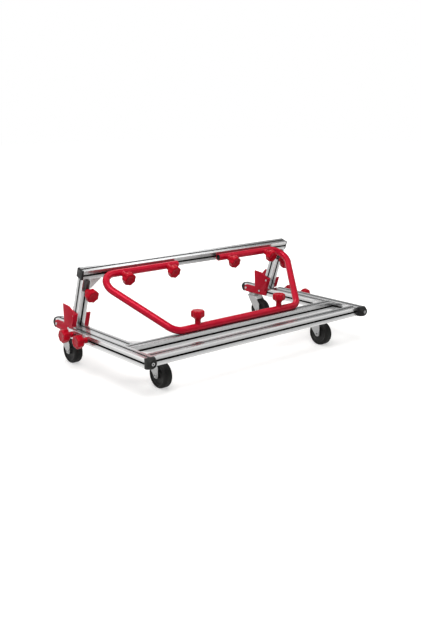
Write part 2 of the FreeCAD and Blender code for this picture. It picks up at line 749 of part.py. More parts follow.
def clamp_plate_shape():
    """A strip with a round end, its hole at the origin, its square end towards +X."""
    radius = v.clamp_wide / 2
    length = v.upright_knob_drop - v.clamp_drop
    strip = Part.makeBox(length, v.clamp_wide, v.clamp_thick, FreeCAD.Vector(0, -radius, 0))
    end = Part.makeCylinder(radius, v.clamp_thick)
    hole = Part.makeCylinder((v.stud_across + v.screw_clear) / 2, v.clamp_thick)
    return strip.fuse(end).removeSplitter().cut(hole)


def fork_shape():
    """A pressed fork under its swivel axis, at the rail's underside; the wheel trails towards -Y."""
    top = -v.caster_head_thick - v.crown_gap
    axle_z = v.wheel_across / 2 - v.caster_height
    inside = v.wheel_wide / 2 + v.hub_stand + v.crown_gap
    crown_foot = top - v.crown_thick
    crown = Part.makeCylinder(v.crown_across / 2, v.crown_thick, ALONG_Z * crown_foot)
    axle = FreeCAD.Vector(0, -v.trail, axle_z)
    radius = v.leg_end_across / 2
    front = FreeCAD.Vector(0, v.leg_root_back - v.leg_root_wide, top)
    back = FreeCAD.Vector(0, v.leg_root_back, top)
    front_touch = axle - ALONG_Y * radius
    front_bend = front_touch + ALONG_Z * v.leg_front_rise
    back_bend = axle + ALONG_Y * v.leg_back_reach + ALONG_Z * v.leg_back_rise
    back_touch = tangent_point(back_bend, axle, radius, RIGHT)
    under = axle - ALONG_Z * radius
    outline = Part.Wire([
        Part.makeLine(front, front_bend),
        Part.makeLine(front_bend, front_touch),
        Part.Arc(front_touch, under, back_touch).toShape(),
        Part.makeLine(back_touch, back_bend),
        Part.makeLine(back_bend, back),
        Part.makeLine(back, front),
    ])
    leg = Part.Face(outline).extrude(ALONG_X * v.leg_thick)
    fork = crown
    for x in (inside, -inside - v.leg_thick):
        side = leg.copy()
        side.translate(ALONG_X * x)
        fork = fork.fuse(side)
    width = 2 * (inside + v.leg_thick)
    bridge = Part.makeBox(width, v.leg_root_wide, v.crown_thick,
                          FreeCAD.Vector(-width / 2, v.leg_root_back - v.leg_root_wide, crown_foot))
    fork = fork.fuse(bridge).removeSplitter()
    pin_radius = v.kingpin_across / 2 + v.run_clear
    pin = Part.makeCylinder(pin_radius, 2 * v.caster_height, ALONG_Z * -v.caster_height)
    bolt = Part.makeCylinder(v.axle_across / 2 + v.run_clear, 2 * width, axle - ALONG_X * width, ALONG_X)
    return fork.cut(pin).cut(bolt)


def tangent_point(point, centre, radius, side):
    """Where a line from a point in the YZ plane touches a circle, on its -Y or +Y side."""
    toward = point - centre
    spread = math.acos(radius / toward.Length)
    angle = math.atan2(toward.z, toward.y) - side * spread
    return centre + FreeCAD.Vector(0, math.cos(angle), math.sin(angle)) * radius


def caster_places():
    return {
        "front_left": (-front_caster_spread / 2, cross_middle),
        "front_right": (front_caster_spread / 2, cross_middle),
        "rear_left": (-inner_middle, inner_far - v.rear_caster_inset),
        "rear_right": (inner_middle, inner_far - v.rear_caster_inset),
    }


def build_casters():
    lying = FreeCAD.Rotation(ALONG_Y, 90)
    inside = v.wheel_wide / 2 + v.hub_stand + v.crown_gap
    outside = inside + v.leg_thick

    head_disc = add(
        "Part::Cylinder", "caster_head_disc",
        Radius="caster_head_across / 2", Height="caster_head_thick")
    put(head_disc, spot(0, 0, -v.caster_head_thick))
    pin_hole = drill("caster_head_hole", "kingpin_across", "4 * caster_head_thick", LEVEL)
    head = cut("caster_head", head_disc, [pin_hole])
    pin_foot = -v.caster_head_thick - v.crown_gap - v.crown_thick - v.crown_gap
    pin = add("Part::Cylinder", "kingpin_shank", Radius="kingpin_across / 2",
              Height="kingpin_depth + caster_head_thick + 2 * crown_gap + crown_thick")
    put(pin, spot(0, 0, pin_foot))
    pin_head = add(
        "Part::Cylinder", "kingpin_head",
        Radius="kingpin_head_across / 2", Height="kingpin_head_thick")
    put(pin_head, spot(0, 0, pin_foot - v.kingpin_head_thick))
    kingpin = fuse("kingpin", [pin, pin_head])
    fork = solid("fork", fork_shape())

    tyre_ring = add("Part::Cylinder", "tyre_ring", Radius="wheel_across / 2", Height="wheel_wide")
    put(tyre_ring, spot(0, 0, -v.wheel_wide / 2))
    tyre_ring = rounded(
        "tyre_rounded", tyre_ring, v.tyre_round, lambda edge: isinstance(edge.Curve, Part.Circle))
    tyre_bore = drill("tyre_bore", "wheel_across - 2 * tyre_thick", "2 * wheel_wide", LEVEL)
    tyre = cut("tyre", tyre_ring, [tyre_bore])
    web = add("Part::Cylinder", "wheel_web", Radius="wheel_across / 2 - tyre_thick", Height="web_thick")
    put(web, spot(0, 0, -v.web_thick / 2))
    hub = add("Part::Cylinder", "wheel_hub", Radius="hub_across / 2", Height="wheel_wide + 2 * hub_stand")
    put(hub, spot(0, 0, -v.wheel_wide / 2 - v.hub_stand))
    wheel_bore = drill("wheel_bore", "axle_across + 2 * run_clear", "2 * wheel_wide", LEVEL)
    wheel = cut("wheel", fuse("wheel_whole", [web, hub]), [wheel_bore])
    bolt = add("Part::Cylinder", "axle_bolt", Radius="axle_across / 2",
               Height="wheel_wide + 2 * hub_stand + 2 * crown_gap + 2 * leg_thick")
    put(bolt, spot(0, 0, -outside))
    ends = []
    for i, z in enumerate((-outside - v.axle_head_thick, outside)):
        end = add("Part::Cylinder", f"axle_end_{i}", Radius="axle_head_across / 2", Height="axle_head_thick")
        ends.append(put(end, spot(0, 0, z)))
    axle = fuse("axle", [bolt] + ends)

    mounts = []
    for word, (x, y) in caster_places().items():
        mount = spot(x, y, rail_bottom)
        mounts.append(mount)
        hub_place = spot(x, y - v.trail, v.wheel_across / 2, lying)
        for name, master, place in (("fork", fork, mount), ("axle", axle, hub_place),
                                    ("wheel", wheel, hub_place), ("tyre", tyre, hub_place)):
            node(f"{name}_{word}", put(group(f"{name}_{word}", [master]), place))
    node("caster_heads", copies("caster_heads", head, mounts))
    node("kingpins", copies("kingpins", kingpin, mounts))


def build_slot_nuts(chassis_screws, clamps, bumper_screws, sides, bow_places):
    screw_nut = slot_nut("screw_nut", "screw_shank")
    stud_nut = slot_nut("stud_nut", "stud_across")
    for name, screws, studs in (("chassis_slot_nuts", chassis_screws, clamps),
                                ("bumper_slot_nuts", bumper_screws, sides)):
        behind_screws = copies(name + "_screws", screw_nut, screws)
        behind_knobs = copies(name + "_studs", stud_nut, studs)
        node(name, group(name, [behind_screws, behind_knobs]))
    node("bow_slot_nuts", copies("bow_slot_nuts", stud_nut, bow_places))


def check_and_write():
    doc.recompute()
    failed = [obj.Label for obj in doc.Objects if {"Invalid", "Error"} & set(obj.State)]
    for obj in nodes:
        if obj.Shape.isNull() or not obj.Shape.isValid() or not obj.Shape.Solids:
            failed.append(obj.Label)
    if failed:
        raise RuntimeError("failed: " + ", ".join(failed))
    os.makedirs("parts", exist_ok=True)
    for obj in nodes:
        obj.Shape.exportStep(os.path.join("parts", obj.Label + ".step"))
        print(obj.Label, len(obj.Shape.Solids), round(obj.Shape.Volume))


build_rails()
build_end_pieces()
holder_seats, front_seats = build_fixings()
bow_places = build_bow()
clamp_seats, side_seats = build_knobs()
build_casters()
build_slot_nuts(holder_seats, clamp_seats, front_seats, side_seats, bow_places)
check_and_write()
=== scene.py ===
import json
import math

import bmesh
import bpy
from mathutils import Euler, Matrix, Vector

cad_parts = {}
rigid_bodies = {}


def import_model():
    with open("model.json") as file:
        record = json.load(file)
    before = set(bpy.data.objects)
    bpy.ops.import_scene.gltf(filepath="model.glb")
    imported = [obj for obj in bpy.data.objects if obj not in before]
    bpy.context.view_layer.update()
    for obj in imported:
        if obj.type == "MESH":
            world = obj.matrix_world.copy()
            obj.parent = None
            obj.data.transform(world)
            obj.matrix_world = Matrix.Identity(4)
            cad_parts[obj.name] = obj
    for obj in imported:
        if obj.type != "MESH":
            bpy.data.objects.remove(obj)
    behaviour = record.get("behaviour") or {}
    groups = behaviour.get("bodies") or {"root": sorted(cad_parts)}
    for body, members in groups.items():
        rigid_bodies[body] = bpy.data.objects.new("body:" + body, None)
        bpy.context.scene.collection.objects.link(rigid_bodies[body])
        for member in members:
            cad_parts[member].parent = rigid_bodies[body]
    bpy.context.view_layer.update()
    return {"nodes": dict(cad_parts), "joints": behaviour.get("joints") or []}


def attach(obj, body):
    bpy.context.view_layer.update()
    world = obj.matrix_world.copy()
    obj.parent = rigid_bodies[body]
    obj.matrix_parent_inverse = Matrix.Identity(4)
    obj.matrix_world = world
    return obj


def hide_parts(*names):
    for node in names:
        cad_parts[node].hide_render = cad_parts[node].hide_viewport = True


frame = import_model()
parts = frame["nodes"]
joints = {joint["name"]: joint for joint in frame["joints"]}

# Sizes that the looks share with the CAD, in metres
PROFILE = 0.040
LEAN = math.radians(18.5)
RAIL_BOTTOM = 0.135
RAIL_TOP = RAIL_BOTTOM + PROFILE
RAIL_MIDDLE = RAIL_TOP - PROFILE / 2
HALF_WIDTH = 0.604
SLIDE_CLEAR = 0.0004
SIDE_MIDDLE = HALF_WIDTH - PROFILE / 2
INNER_MIDDLE = SIDE_MIDDLE - PROFILE - SLIDE_CLEAR
SIDE_FRONT = -0.350
FRONT_BACK = SIDE_FRONT + PROFILE
FRAME_GAP = 0.100
CROSS_MIDDLE = FRONT_BACK + FRAME_GAP + PROFILE / 2
CROSS_BACK = CROSS_MIDDLE + PROFILE / 2
INNER_FAR = 0.350
FOOT_SETBACK = 0.168
FOOT_FRONT = INNER_FAR - FOOT_SETBACK
UPRIGHT_LENGTH = 0.212
PLATE_THICK = 0.005
BRACKET_WALL = 0.005
# Screw places: in from a plate's arm, back from an upright's foot, up an upright and out along a bracket
ARM_SCREW_INSET = 0.014
BODY_SCREW_REACH = 0.056
UPPER_SCREW_HEIGHT = 0.036
BRACKET_SCREW_OUT = 0.024
# Where a knob stands above its joint's place, and how far its stud reaches down
KNOB_SEATS = {"bow": (0.0346, 0.0456), "side": (0.0003, 0.0517), "upright": (0.0113, 0.0223)}
LEANING = Matrix.Translation((0, FOOT_FRONT, RAIL_TOP)) @ Matrix.Rotation(LEAN, 4, "X")
CORNERS = ("front_left", "front_right", "rear_left", "rear_right")

# How far sharp edges are eased, in metres
CAP_EDGE = 0.0006
PLATE_EDGE = 0.0008
BLOCK_EDGE = 0.0010
FORK_EDGE = 0.0012

# Angles in degrees: past which an edge looks sharp on a turned and on an eased piece, past which an edge
# is eased, and under which two triangles of a CAD node lie flat
SHARP_ANGLE = 38
EASED_SHARP_ANGLE = 50
EASE_ANGLE = 40
FLAT_ANGLE = 1
# Points closer than this are one, in a CAD node's triangles and at a turned shape's seam and poles, in metres
CAD_WELD = 0.000005
SEAM_WELD = 0.00002

# A rail's tones: its metal, the painted reflection that darkens each face towards its slot, the painted shade
# on its slots' lips, and its drawing lines
METAL_DARK = (0.56, 0.565, 0.57)
METAL_LIGHT = (0.68, 0.68, 0.68)
SLOTWARD_SHADE_TONE = (0.40, 0.405, 0.41)
LIP_SHADE_TONE = (0.38, 0.38, 0.38)
LINE_TONE = (0.30, 0.305, 0.31)
# How bright a rail's metal is painted and how dark its slots are painted, for rails that run front to back
# and for the others: the brighter metal is a painted reflection, the dark slots are painted shade
LONG_RAIL_PAINTED_LIGHT = (1.2, 0.04)
OTHER_RAIL_PAINTED_LIGHT = (0.95, 0.008)
# Depths of a rail's section, in metres from its middle: where its skin begins and the painted shade of its
# slots ends, where the painted shade on a slot's lip ends and where the painted shade that darkens a face
# towards its slot ends
SKIN_DEPTH = (0.0150, 0.0182)
LIP_SHADE_WIDTH = (0.0042, 0.0080)
SLOTWARD_SHADE_WIDTH = (0.0080, 0.0165)
# How much a face looks along its rail where it is a sawn end
SAWN_FACING = (0.6, 0.8)
# Noise stretched along a rail, as drawing lines and as handling smudges
DRAWN_LINES = (2.0, 900.0, 900.0)
LONG_SMUDGES = (0.4, 1.0, 1.0)
# A coat's fine texture is this many times finer than its colour drift, and this deep in metres
DRIFT_RATIO = 40
COAT_RELIEF = 0.0003
# How far a coat's roughness swings with that texture, as shares of its own
ROUGHNESS_SHARES = (0.85, 1.2)
LINE_RELIEF = 0.0002

# The studio's bright side, as a direction over the floor, and its levels for mirrored and scattered light
BRIGHT_SIDE = (-0.766, 0.643, 0)
DIM_STUDIO = 0.32
BRIGHT_STUDIO = 1.0
STUDIO_TURN = (-0.22, 0.12)
SCATTERED_LEVEL = 0.13
# The floor's own light, which grows with the distance from the object, in metres
FLOOR_SIZE = 40
FLOOR_TONE = (0.62, 0.612, 0.60)
FLOOR_LIFT = (0.50, 0.95)
FLOOR_FADE = (0.75, 2.2)
# The camera that was fitted to the photo
PHOTO_HEIGHT = 631
FOCAL_PIXELS = 789.416
SENSOR_HEIGHT = 36.0
CAMERA_PLACE = (-2.1484, -2.5455, 1.0279)
CAMERA_DIP = math.radians(14.58)
CAMERA_TURN = math.radians(-40.16)


# Materials

def fresh_material(name):
    """A node material and its shader."""
    material = bpy.data.materials.new(name)
    material.use_nodes = True
    nodes, links = material.node_tree.nodes, material.node_tree.links
    return material, nodes, links, nodes["Principled BSDF"]


def node(nodes, kind, **settings):
    """A shader node, with each setting put on the socket or property of its name."""
    made = nodes.new("ShaderNode" + kind)
    for key, value in settings.items():
        if key in made.inputs:
            made.inputs[key].default_value = value
        else:
            setattr(made, key, value)
    return made


def measure(nodes, links, operation, *values):
    """A Math node's result from some sockets."""
    made = node(nodes, "Math", operation=operation)
    for socket, value in zip(made.inputs, values):
        links.new(value, socket)
    return made.outputs[0]


def towards(nodes, links, way, direction):
    """How far a socket's vector points along a direction."""
    made = node(nodes, "VectorMath", operation="DOT_PRODUCT")
    links.new(way, made.inputs[0])
    made.inputs[1].default_value = direction
    return made.outputs["Value"]


def grain(nodes, links, scale, detail=3.0, stretch=(1, 1, 1), source=None):
    """Noise on Object coordinates, stretched where asked."""
    if source is None:
        source = node(nodes, "TexCoord").outputs["Object"]
    mapping = node(nodes, "Mapping", Scale=stretch)
    links.new(source, mapping.inputs["Vector"])
    noise = node(nodes, "TexNoise", Scale=scale, Detail=detail)
    links.new(mapping.outputs["Vector"], noise.inputs["Vector"])
    return noise.outputs["Fac"]


def spread(nodes, links, value, low, high, start=0.3, stop=0.7):
    """Maps a value's middle range to low and high."""
    limits = {"From Min": start, "From Max": stop, "To Min": low, "To Max": high}
    ranged = node(nodes, "MapRange", **limits)
    links.new(value, ranged.inputs["Value"])
    return ranged.outputs["Result"]


def two_tones(nodes, links, value, first, second):
    """A colour that runs from the first tone to the second as a value goes from 0 to 1."""
    ramp = node(nodes, "ValToRGB")
    ramp.color_ramp.elements[0].color = (*first, 1)
    ramp.color_ramp.elements[1].color = (*second, 1)
    links.new(value, ramp.inputs["Fac"])
    return ramp.outputs["Color"]


def scaled(tone, level):
    """A tone made brighter or darker."""
    return tuple(level * value for value in tone)


def blend_tones(nodes, links, share, under, over):
    """A share of one tone over another, each a colour or a socket."""
    mix = node(nodes, "Mix", data_type="RGBA")
    links.new(share, mix.inputs[0])
    for socket, tone in ((mix.inputs[6], under), (mix.inputs[7], over)):
        if isinstance(tone, tuple):
            socket.default_value = (*tone, 1)
        else:
            links.new(tone, socket)
    return mix.outputs[2]


def bump(nodes, links, shader, value, strength, distance):
    """Relief from a value, on the shader's normal."""
    made = node(nodes, "Bump", Strength=strength, Distance=distance)
    links.new(value, made.inputs["Height"])
    links.new(made.outputs["Normal"], shader.inputs["Normal"])


def drawn_profile(name, centre, turn, level, painted_slot_shade):
    """Anodised drawn aluminium for one rail, with fine lines along it, painted shade in its slots and on
    their lips, a painted reflection that darkens each face towards its slot, and metal painted brighter or
    darker per rail as a painted reflection.
    """
    material, nodes, links, shader = fresh_material(name)
    coordinates = node(nodes, "TexCoord").outputs
    mapping = node(nodes, "Mapping", vector_type="TEXTURE", Location=centre, Rotation=turn)
    links.new(coordinates["Object"], mapping.inputs["Vector"])
    local = mapping.outputs["Vector"]
    lines = grain(nodes, links, 1.0, 4.0, DRAWN_LINES, local)
    smudges = grain(nodes, links, 7.0, 3.0, LONG_SMUDGES, local)
    section = node(nodes, "SeparateXYZ")
    links.new(local, section.inputs["Vector"])
    sides = [measure(nodes, links, "ABSOLUTE", section.outputs[axis]) for axis in "YZ"]
    outermost = measure(nodes, links, "MAXIMUM", *sides)
    lateral = measure(nodes, links, "MINIMUM", *sides)
    along = towards(nodes, links, coordinates["Normal"], Euler(turn).to_matrix() @ Vector((1, 0, 0)))
    sawn = measure(nodes, links, "ABSOLUTE", along)
    # Points below the skin, inside the slots, take the painted slot shade; the skin and sawn ends keep the
    # metal
    skin = spread(nodes, links, outermost, 0.0, 1.0, *SKIN_DEPTH)
    sawn_end = spread(nodes, links, sawn, 0.0, 1.0, *SAWN_FACING)
    outside = measure(nodes, links, "MAXIMUM", skin, sawn_end)
    # Painted shade on the metal beside each slot's lip
    lip_shade = spread(nodes, links, lateral, 0.0, 1.0, *LIP_SHADE_WIDTH)
    # rim: painted reflection that darkens each face from its outer edge towards its slot
    rim = spread(nodes, links, lateral, 0.0, 1.0, *SLOTWARD_SHADE_WIDTH)
    drift = spread(nodes, links, smudges, 0.0, 1.0)
    streaks = spread(nodes, links, lines, 0.0, 0.45)
    # level paints this rail's metal brighter or darker, as a painted reflection
    metal = two_tones(nodes, links, drift, scaled(METAL_DARK, level), scaled(METAL_LIGHT, level))
    slotward_shaded = blend_tones(nodes, links, rim, scaled(SLOTWARD_SHADE_TONE, level), metal)
    streaked = blend_tones(nodes, links, streaks, slotward_shaded, LINE_TONE)
    lip_shaded = blend_tones(nodes, links, lip_shade, scaled(LIP_SHADE_TONE, level), streaked)
    whole = blend_tones(nodes, links, outside, (painted_slot_shade,) * 3, lip_shaded)
    links.new(whole, shader.inputs["Base Color"])
    shader.inputs["Metallic"].default_value = 0.85
    links.new(spread(nodes, links, lines, 0.17, 0.29), shader.inputs["Roughness"])
    bump(nodes, links, shader, lines, 0.08, LINE_RELIEF)
    return material


def coat(name, dark, light, roughness, scale, peel, metallic=0.0, specular=0.5, sheen=(1, 1, 1)):
    """A finish with slow colour drift and a fine surface texture."""
    material, nodes, links, shader = fresh_material(name)
    drift = grain(nodes, links, scale / DRIFT_RATIO, 4.0)
    fine = grain(nodes, links, scale, 2.0)
    tone = two_tones(nodes, links, spread(nodes, links, drift, 0.0, 1.0), dark, light)
    links.new(tone, shader.inputs["Base Color"])
    smoothest, roughest = (roughness * share for share in ROUGHNESS_SHARES)
    links.new(spread(nodes, links, fine, smoothest, roughest), shader.inputs["Roughness"])
    shader.inputs["Metallic"].default_value = metallic
    shader.inputs["Specular IOR Level"].default_value = specular
    shader.inputs["Specular Tint"].default_value = (*sheen, 1)
    bump(nodes, links, shader, fine, peel, COAT_RELIEF)
    return material


RED_SHEEN = (1.0, 0.46, 0.56)
RED_COAT = coat(
    "red_powder_coat", (0.40, 0.003, 0.018), (0.47, 0.005, 0.024), 0.21, 900.0, 0.05,
    metallic=0.12, specular=0.24, sheen=RED_SHEEN)
PLATE_COAT = coat(
    "red_plate_coat", (0.41, 0.006, 0.021), (0.49, 0.009, 0.028), 0.42, 900.0, 0.06,
    metallic=0.12, specular=0.10, sheen=RED_SHEEN)
RED_PLASTIC = coat(
    "red_knob_plastic", (0.35, 0.002, 0.010), (0.41, 0.003, 0.014), 0.24, 1500.0, 0.06,
    metallic=0.08, specular=0.16, sheen=RED_SHEEN)
BLACK_PLASTIC = coat(
    "black_cap_plastic", (0.006, 0.006, 0.006), (0.011, 0.011, 0.012), 0.44, 1600.0, 0.12, specular=0.22)
BLACK_RUBBER = coat(
    "black_tyre_rubber", (0.005, 0.005, 0.005), (0.010, 0.010, 0.009), 0.60, 1200.0, 0.2, specular=0.20)
ZINC = coat("bright_zinc", (0.36, 0.365, 0.37), (0.47, 0.47, 0.465), 0.34, 700.0, 0.06, metallic=0.6)
CLAMP_STEEL = coat(
    "dark_clamp_steel", (0.040, 0.034, 0.034), (0.075, 0.064, 0.063), 0.34, 900.0, 0.06,
    metallic=0.3, specular=0.3)
STEEL = coat("screw_steel", (0.36, 0.365, 0.37), (0.50, 0.50, 0.50), 0.28, 2400.0, 0.05, metallic=1.0)
CAST_GREY = coat("cast_bracket", (0.52, 0.53, 0.53), (0.62, 0.62, 0.62), 0.45, 1000.0, 0.25, metallic=0.4)
BLACK_WHEEL = coat(
    "black_wheel_core", (0.010, 0.010, 0.010), (0.017, 0.017, 0.016), 0.48, 1500.0, 0.10, specular=0.25)


# Geometry node trees

def plain_mesh(holder):
    """What an object's modifiers make, as a mesh of its own."""
    return bpy.data.meshes.new_from_object(holder.evaluated_get(bpy.context.evaluated_depsgraph_get()))


class Tree:
    """A geometry node tree with named inputs."""

    def __init__(self, name, **inputs):
        self.group = bpy.data.node_groups.new(name, "GeometryNodeTree")
        self.nodes, self.links = self.group.nodes, self.group.links
        face = self.group.interface
        face.new_socket("Geometry", in_out="OUTPUT", socket_type="NodeSocketGeometry")
        face.new_socket("Geometry", in_out="INPUT", socket_type="NodeSocketGeometry")
        self.ids = {}
        for key, kind in inputs.items():
            self.ids[key] = face.new_socket(key, in_out="INPUT", socket_type="NodeSocket" + kind).identifier
        self.given = self.nodes.new("NodeGroupInput").outputs

    def add(self, kind, wires=None, **settings):
        """A node with its settings, its sockets wired or set."""
        made = self.nodes.new(kind)
        for key, value in settings.items():
            setattr(made, key, value)
        for key, value in (wires or {}).items():
            if isinstance(value, bpy.types.NodeSocket):
                self.links.new(value, made.inputs[key])
            else:
                made.inputs[key].default_value = value
        return made.outputs

    def sum(self, operation, *values):
        """A Math node's result."""
        return self.add("ShaderNodeMath", dict(enumerate(values)), operation=operation)[0]

    def close(self, geometry):
        """Realizes what is left as instances and gives it the finish."""
        whole = self.add("GeometryNodeRealizeInstances", {"Geometry": geometry})[0]
        wires = {"Geometry": whole, "Material": self.given["Finish"]}
        finished = self.add("GeometryNodeSetMaterial", wires)[0]
        self.links.new(finished, self.nodes.new("NodeGroupOutput").inputs[0])

    def grow(self, points, edges=(), facing=(), **values):
        """Runs the tree on some points and gives back a plain mesh."""
        base = bpy.data.meshes.new(self.group.name)
        base.from_pydata(points, edges, [])
        if facing:
            stored = base.attributes.new("facing", "FLOAT_VECTOR", "POINT")
            for entry, way in zip(stored.data, facing):
                entry.vector = way
        holder = bpy.data.objects.new(self.group.name, base)
        bpy.context.collection.objects.link(holder)
        modifier = holder.modifiers.new("tree", "NODES")
        modifier.node_group = self.group
        for key, value in values.items():
            modifier[self.ids[key]] = value
        bpy.context.view_layer.update()
        grown = plain_mesh(holder)
        bpy.data.objects.remove(holder)
        bpy.data.meshes.remove(base)
        return grown


def turning_tree():
    """Turns a line of points (radius, lobe share, height) about Z, with lobes where a point has a share."""
    tree = Tree("turned_shape", Steps="Int", Lobes="Int", Depth="Float", Finish="Material")
    given = tree.given
    rows = tree.add("GeometryNodeAttributeDomainSize", {"Geometry": given["Geometry"]})["Point Count"]
    columns = tree.sum("ADD", given["Steps"], 1.0)
    grid = tree.add("GeometryNodeMeshGrid", {"Vertices X": columns, "Vertices Y": rows})["Mesh"]
    index = tree.add("GeometryNodeInputIndex")[0]
    row = tree.sum("MODULO", index, rows)
    column = tree.sum("FLOOR", tree.sum("DIVIDE", index, rows))
    place = tree.add("GeometryNodeInputPosition")[0]
    wires = {"Geometry": given["Geometry"], "Value": place, "Index": row}
    sampled = tree.add("GeometryNodeSampleIndex", wires, data_type="FLOAT_VECTOR")["Value"]
    line = tree.add("ShaderNodeSeparateXYZ", {"Vector": sampled})
    angle = tree.sum("MULTIPLY", tree.sum("DIVIDE", column, given["Steps"]), 2 * math.pi)
    wave = tree.sum("COSINE", tree.sum("MULTIPLY", angle, given["Lobes"]))
    dip = tree.sum("MULTIPLY_ADD", wave, 0.5, 0.5)
    bite = tree.sum("MULTIPLY", tree.sum("MULTIPLY", dip, given["Depth"]), line["Y"])
    radius = tree.sum("MULTIPLY", line["X"], tree.sum("SUBTRACT", 1.0, bite))
    across = tree.sum("MULTIPLY", radius, tree.sum("COSINE", angle))
    along = tree.sum("MULTIPLY", radius, tree.sum("SINE", angle))
    spot = tree.add("ShaderNodeCombineXYZ", {"X": across, "Y": along, "Z": line["Z"]})[0]
    bent = tree.add("GeometryNodeSetPosition", {"Geometry": grid, "Position": spot})[0]
    joined = tree.add("GeometryNodeMergeByDistance", {"Geometry": bent, "Distance": SEAM_WELD})[0]
    tree.close(joined)
    return tree


def setting_tree():
    """Sets one screw on every point, standing along the point's facing."""
    tree = Tree("screw_row", Screw="Object", Finish="Material")
    screw = tree.add("GeometryNodeObjectInfo", {"Object": tree.given["Screw"]})["Geometry"]
    facing = tree.add("GeometryNodeInputNamedAttribute", {"Name": "facing"}, data_type="FLOAT_VECTOR")[0]
    turn = tree.add("FunctionNodeAlignRotationToVector", {"Vector": facing}, axis="Z")[0]
    wires = {"Points": tree.given["Geometry"], "Instance": screw, "Rotation": turn}
    tree.close(tree.add("GeometryNodeInstanceOnPoints", wires)[0])
    return tree


TURNING = turning_tree()
SETTING = setting_tree()


def turned(line, finish, steps=64, lobes=0, depth=0.0):
    """A turned shape from (radius, height) or (radius, height, lobe share) in millimetres."""
    points = []
    for radius, height, *share in line:
        points.append((radius / 1000, share[0] if share else 0.0, height / 1000))
    return TURNING.grow(points, Steps=steps, Lobes=lobes, Depth=depth, Finish=finish)


def assemble(name, body, shapes, slot, *replaced, sharp=SHARP_ANGLE):
    """Joins meshes, each at its place, into one piece that rides on a body."""
    whole = bmesh.new()
    finishes = []
    for mesh, place in shapes:
        first = len(whole.faces)
        copy = mesh.copy()
        copy.transform(place)
        whole.from_mesh(copy)
        bpy.data.meshes.remove(copy)
        finish = mesh.materials[-1]
        if finish not in finishes:
            finishes.append(finish)
        whole.faces.ensure_lookup_table()
        for face in whole.faces[first:]:
            face.material_index = finishes.index(finish)
    bmesh.ops.recalc_face_normals(whole, faces=whole.faces)
    made = bpy.data.meshes.new(name)
    whole.to_mesh(made)
    whole.free()
    for finish in finishes:
        made.materials.append(finish)
    made.shade_smooth()
    made.set_sharp_from_angle(angle=math.radians(sharp))
    piece = bpy.data.objects.new(name, made)
    bpy.context.collection.objects.link(piece)
    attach(piece, body)
    if replaced:
        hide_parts(*replaced)
    return piece


def standing(place, out):
    """A placement whose Z runs along a direction."""
    return Matrix.Translation(place) @ Vector(out).to_track_quat("Z", "Y").to_matrix().to_4x4()


def softened(name, body, finish, slot, width, segments=2):
    """A copy of a CAD node with its sharp edges eased."""
    merged = bmesh.new()
    merged.from_mesh(parts[name].data)
    bmesh.ops.remove_doubles(merged, verts=merged.verts, dist=CAD_WELD)
    flat = math.radians(FLAT_ANGLE)
    bmesh.ops.dissolve_limit(merged, angle_limit=flat, verts=merged.verts, edges=merged.edges)
    mesh = bpy.data.meshes.new("eased_" + name)
    merged.to_mesh(mesh)
    merged.free()
    mesh.materials.append(finish)
    piece = bpy.data.objects.new("eased_" + name, mesh)
    bpy.context.collection.objects.link(piece)
    bevel = piece.modifiers.new("ease", "BEVEL")
    bevel.width = width
    bevel.segments = segments
    bevel.limit_method = "ANGLE"
    bevel.angle_limit = math.radians(EASE_ANGLE)
    bevel.harden_normals = False
    bpy.context.view_layer.update()
    eased = plain_mesh(piece)
    bpy.data.objects.remove(piece)
    bpy.data.meshes.remove(mesh)
    return assemble("eased_" + name, body, [(eased, Matrix())], slot, name, sharp=EASED_SHARP_ANGLE)


def dress(material, *names):
    """Gives CAD nodes a material."""
    for name in names:
        part = parts[name]
        if not part.material_slots:
            part.data.materials.append(material)
        for each in part.material_slots:
            each.material = material


# Rails and plain CAD pieces

along_x = (0, 0, 0)
along_y = (0, 0, math.pi / 2)
along_lean = (LEAN, 0, 0)
up_lean = tuple((Matrix.Rotation(LEAN, 3, "X") @ Matrix.Rotation(-math.pi / 2, 3, "Y")).to_euler())
RAILS = {
    "front_rail": ((0, SIDE_FRONT + PROFILE / 2, RAIL_MIDDLE), along_x),
    "cross_rail": ((0, CROSS_MIDDLE, RAIL_MIDDLE), along_x),
    "top_bar": (tuple(LEANING @ Vector((0, PROFILE / 2, UPRIGHT_LENGTH + PROFILE / 2))), along_lean),
    "side_rail_left": ((-SIDE_MIDDLE, 0, RAIL_MIDDLE), along_y),
    "side_rail_right": ((SIDE_MIDDLE, 0, RAIL_MIDDLE), along_y),
    "inner_rail_left": ((-INNER_MIDDLE, 0, RAIL_MIDDLE), along_y),
    "inner_rail_right": ((INNER_MIDDLE, 0, RAIL_MIDDLE), along_y),
    "upright_left": (tuple(LEANING @ Vector((-INNER_MIDDLE, PROFILE / 2, 0))), up_lean),
    "upright_right": (tuple(LEANING @ Vector((INNER_MIDDLE, PROFILE / 2, 0))), up_lean),
}
for name, (centre, turn) in RAILS.items():
    # Rails that run front to back get metal painted brighter and slots painted less dark than the others, as
    # painted reflection and painted shade
    rail_painted_light = LONG_RAIL_PAINTED_LIGHT if turn == along_y else OTHER_RAIL_PAINTED_LIGHT
    dress(drawn_profile("drawn_" + name, centre, turn, *rail_painted_light), name)
dress(RED_COAT, "bow_tube")
dress(BLACK_PLASTIC, "bow_plugs")
dress(STEEL, "chassis_slot_nuts", "bumper_slot_nuts", "bow_slot_nuts", "kingpins")
for name in parts:
    if name.startswith("holder_plate"):
        softened(name, "chassis", PLATE_COAT, "red_coat", PLATE_EDGE)
softened("corner_brackets", "chassis", CAST_GREY, "cast_grey", PLATE_EDGE)
softened("front_brackets", "bumper_frame", CAST_GREY, "cast_grey", PLATE_EDGE)
softened("end_caps", "chassis", BLACK_PLASTIC, "black_plastic", CAP_EDGE)
softened("bumper_caps", "bumper_frame", BLACK_PLASTIC, "black_plastic", CAP_EDGE)
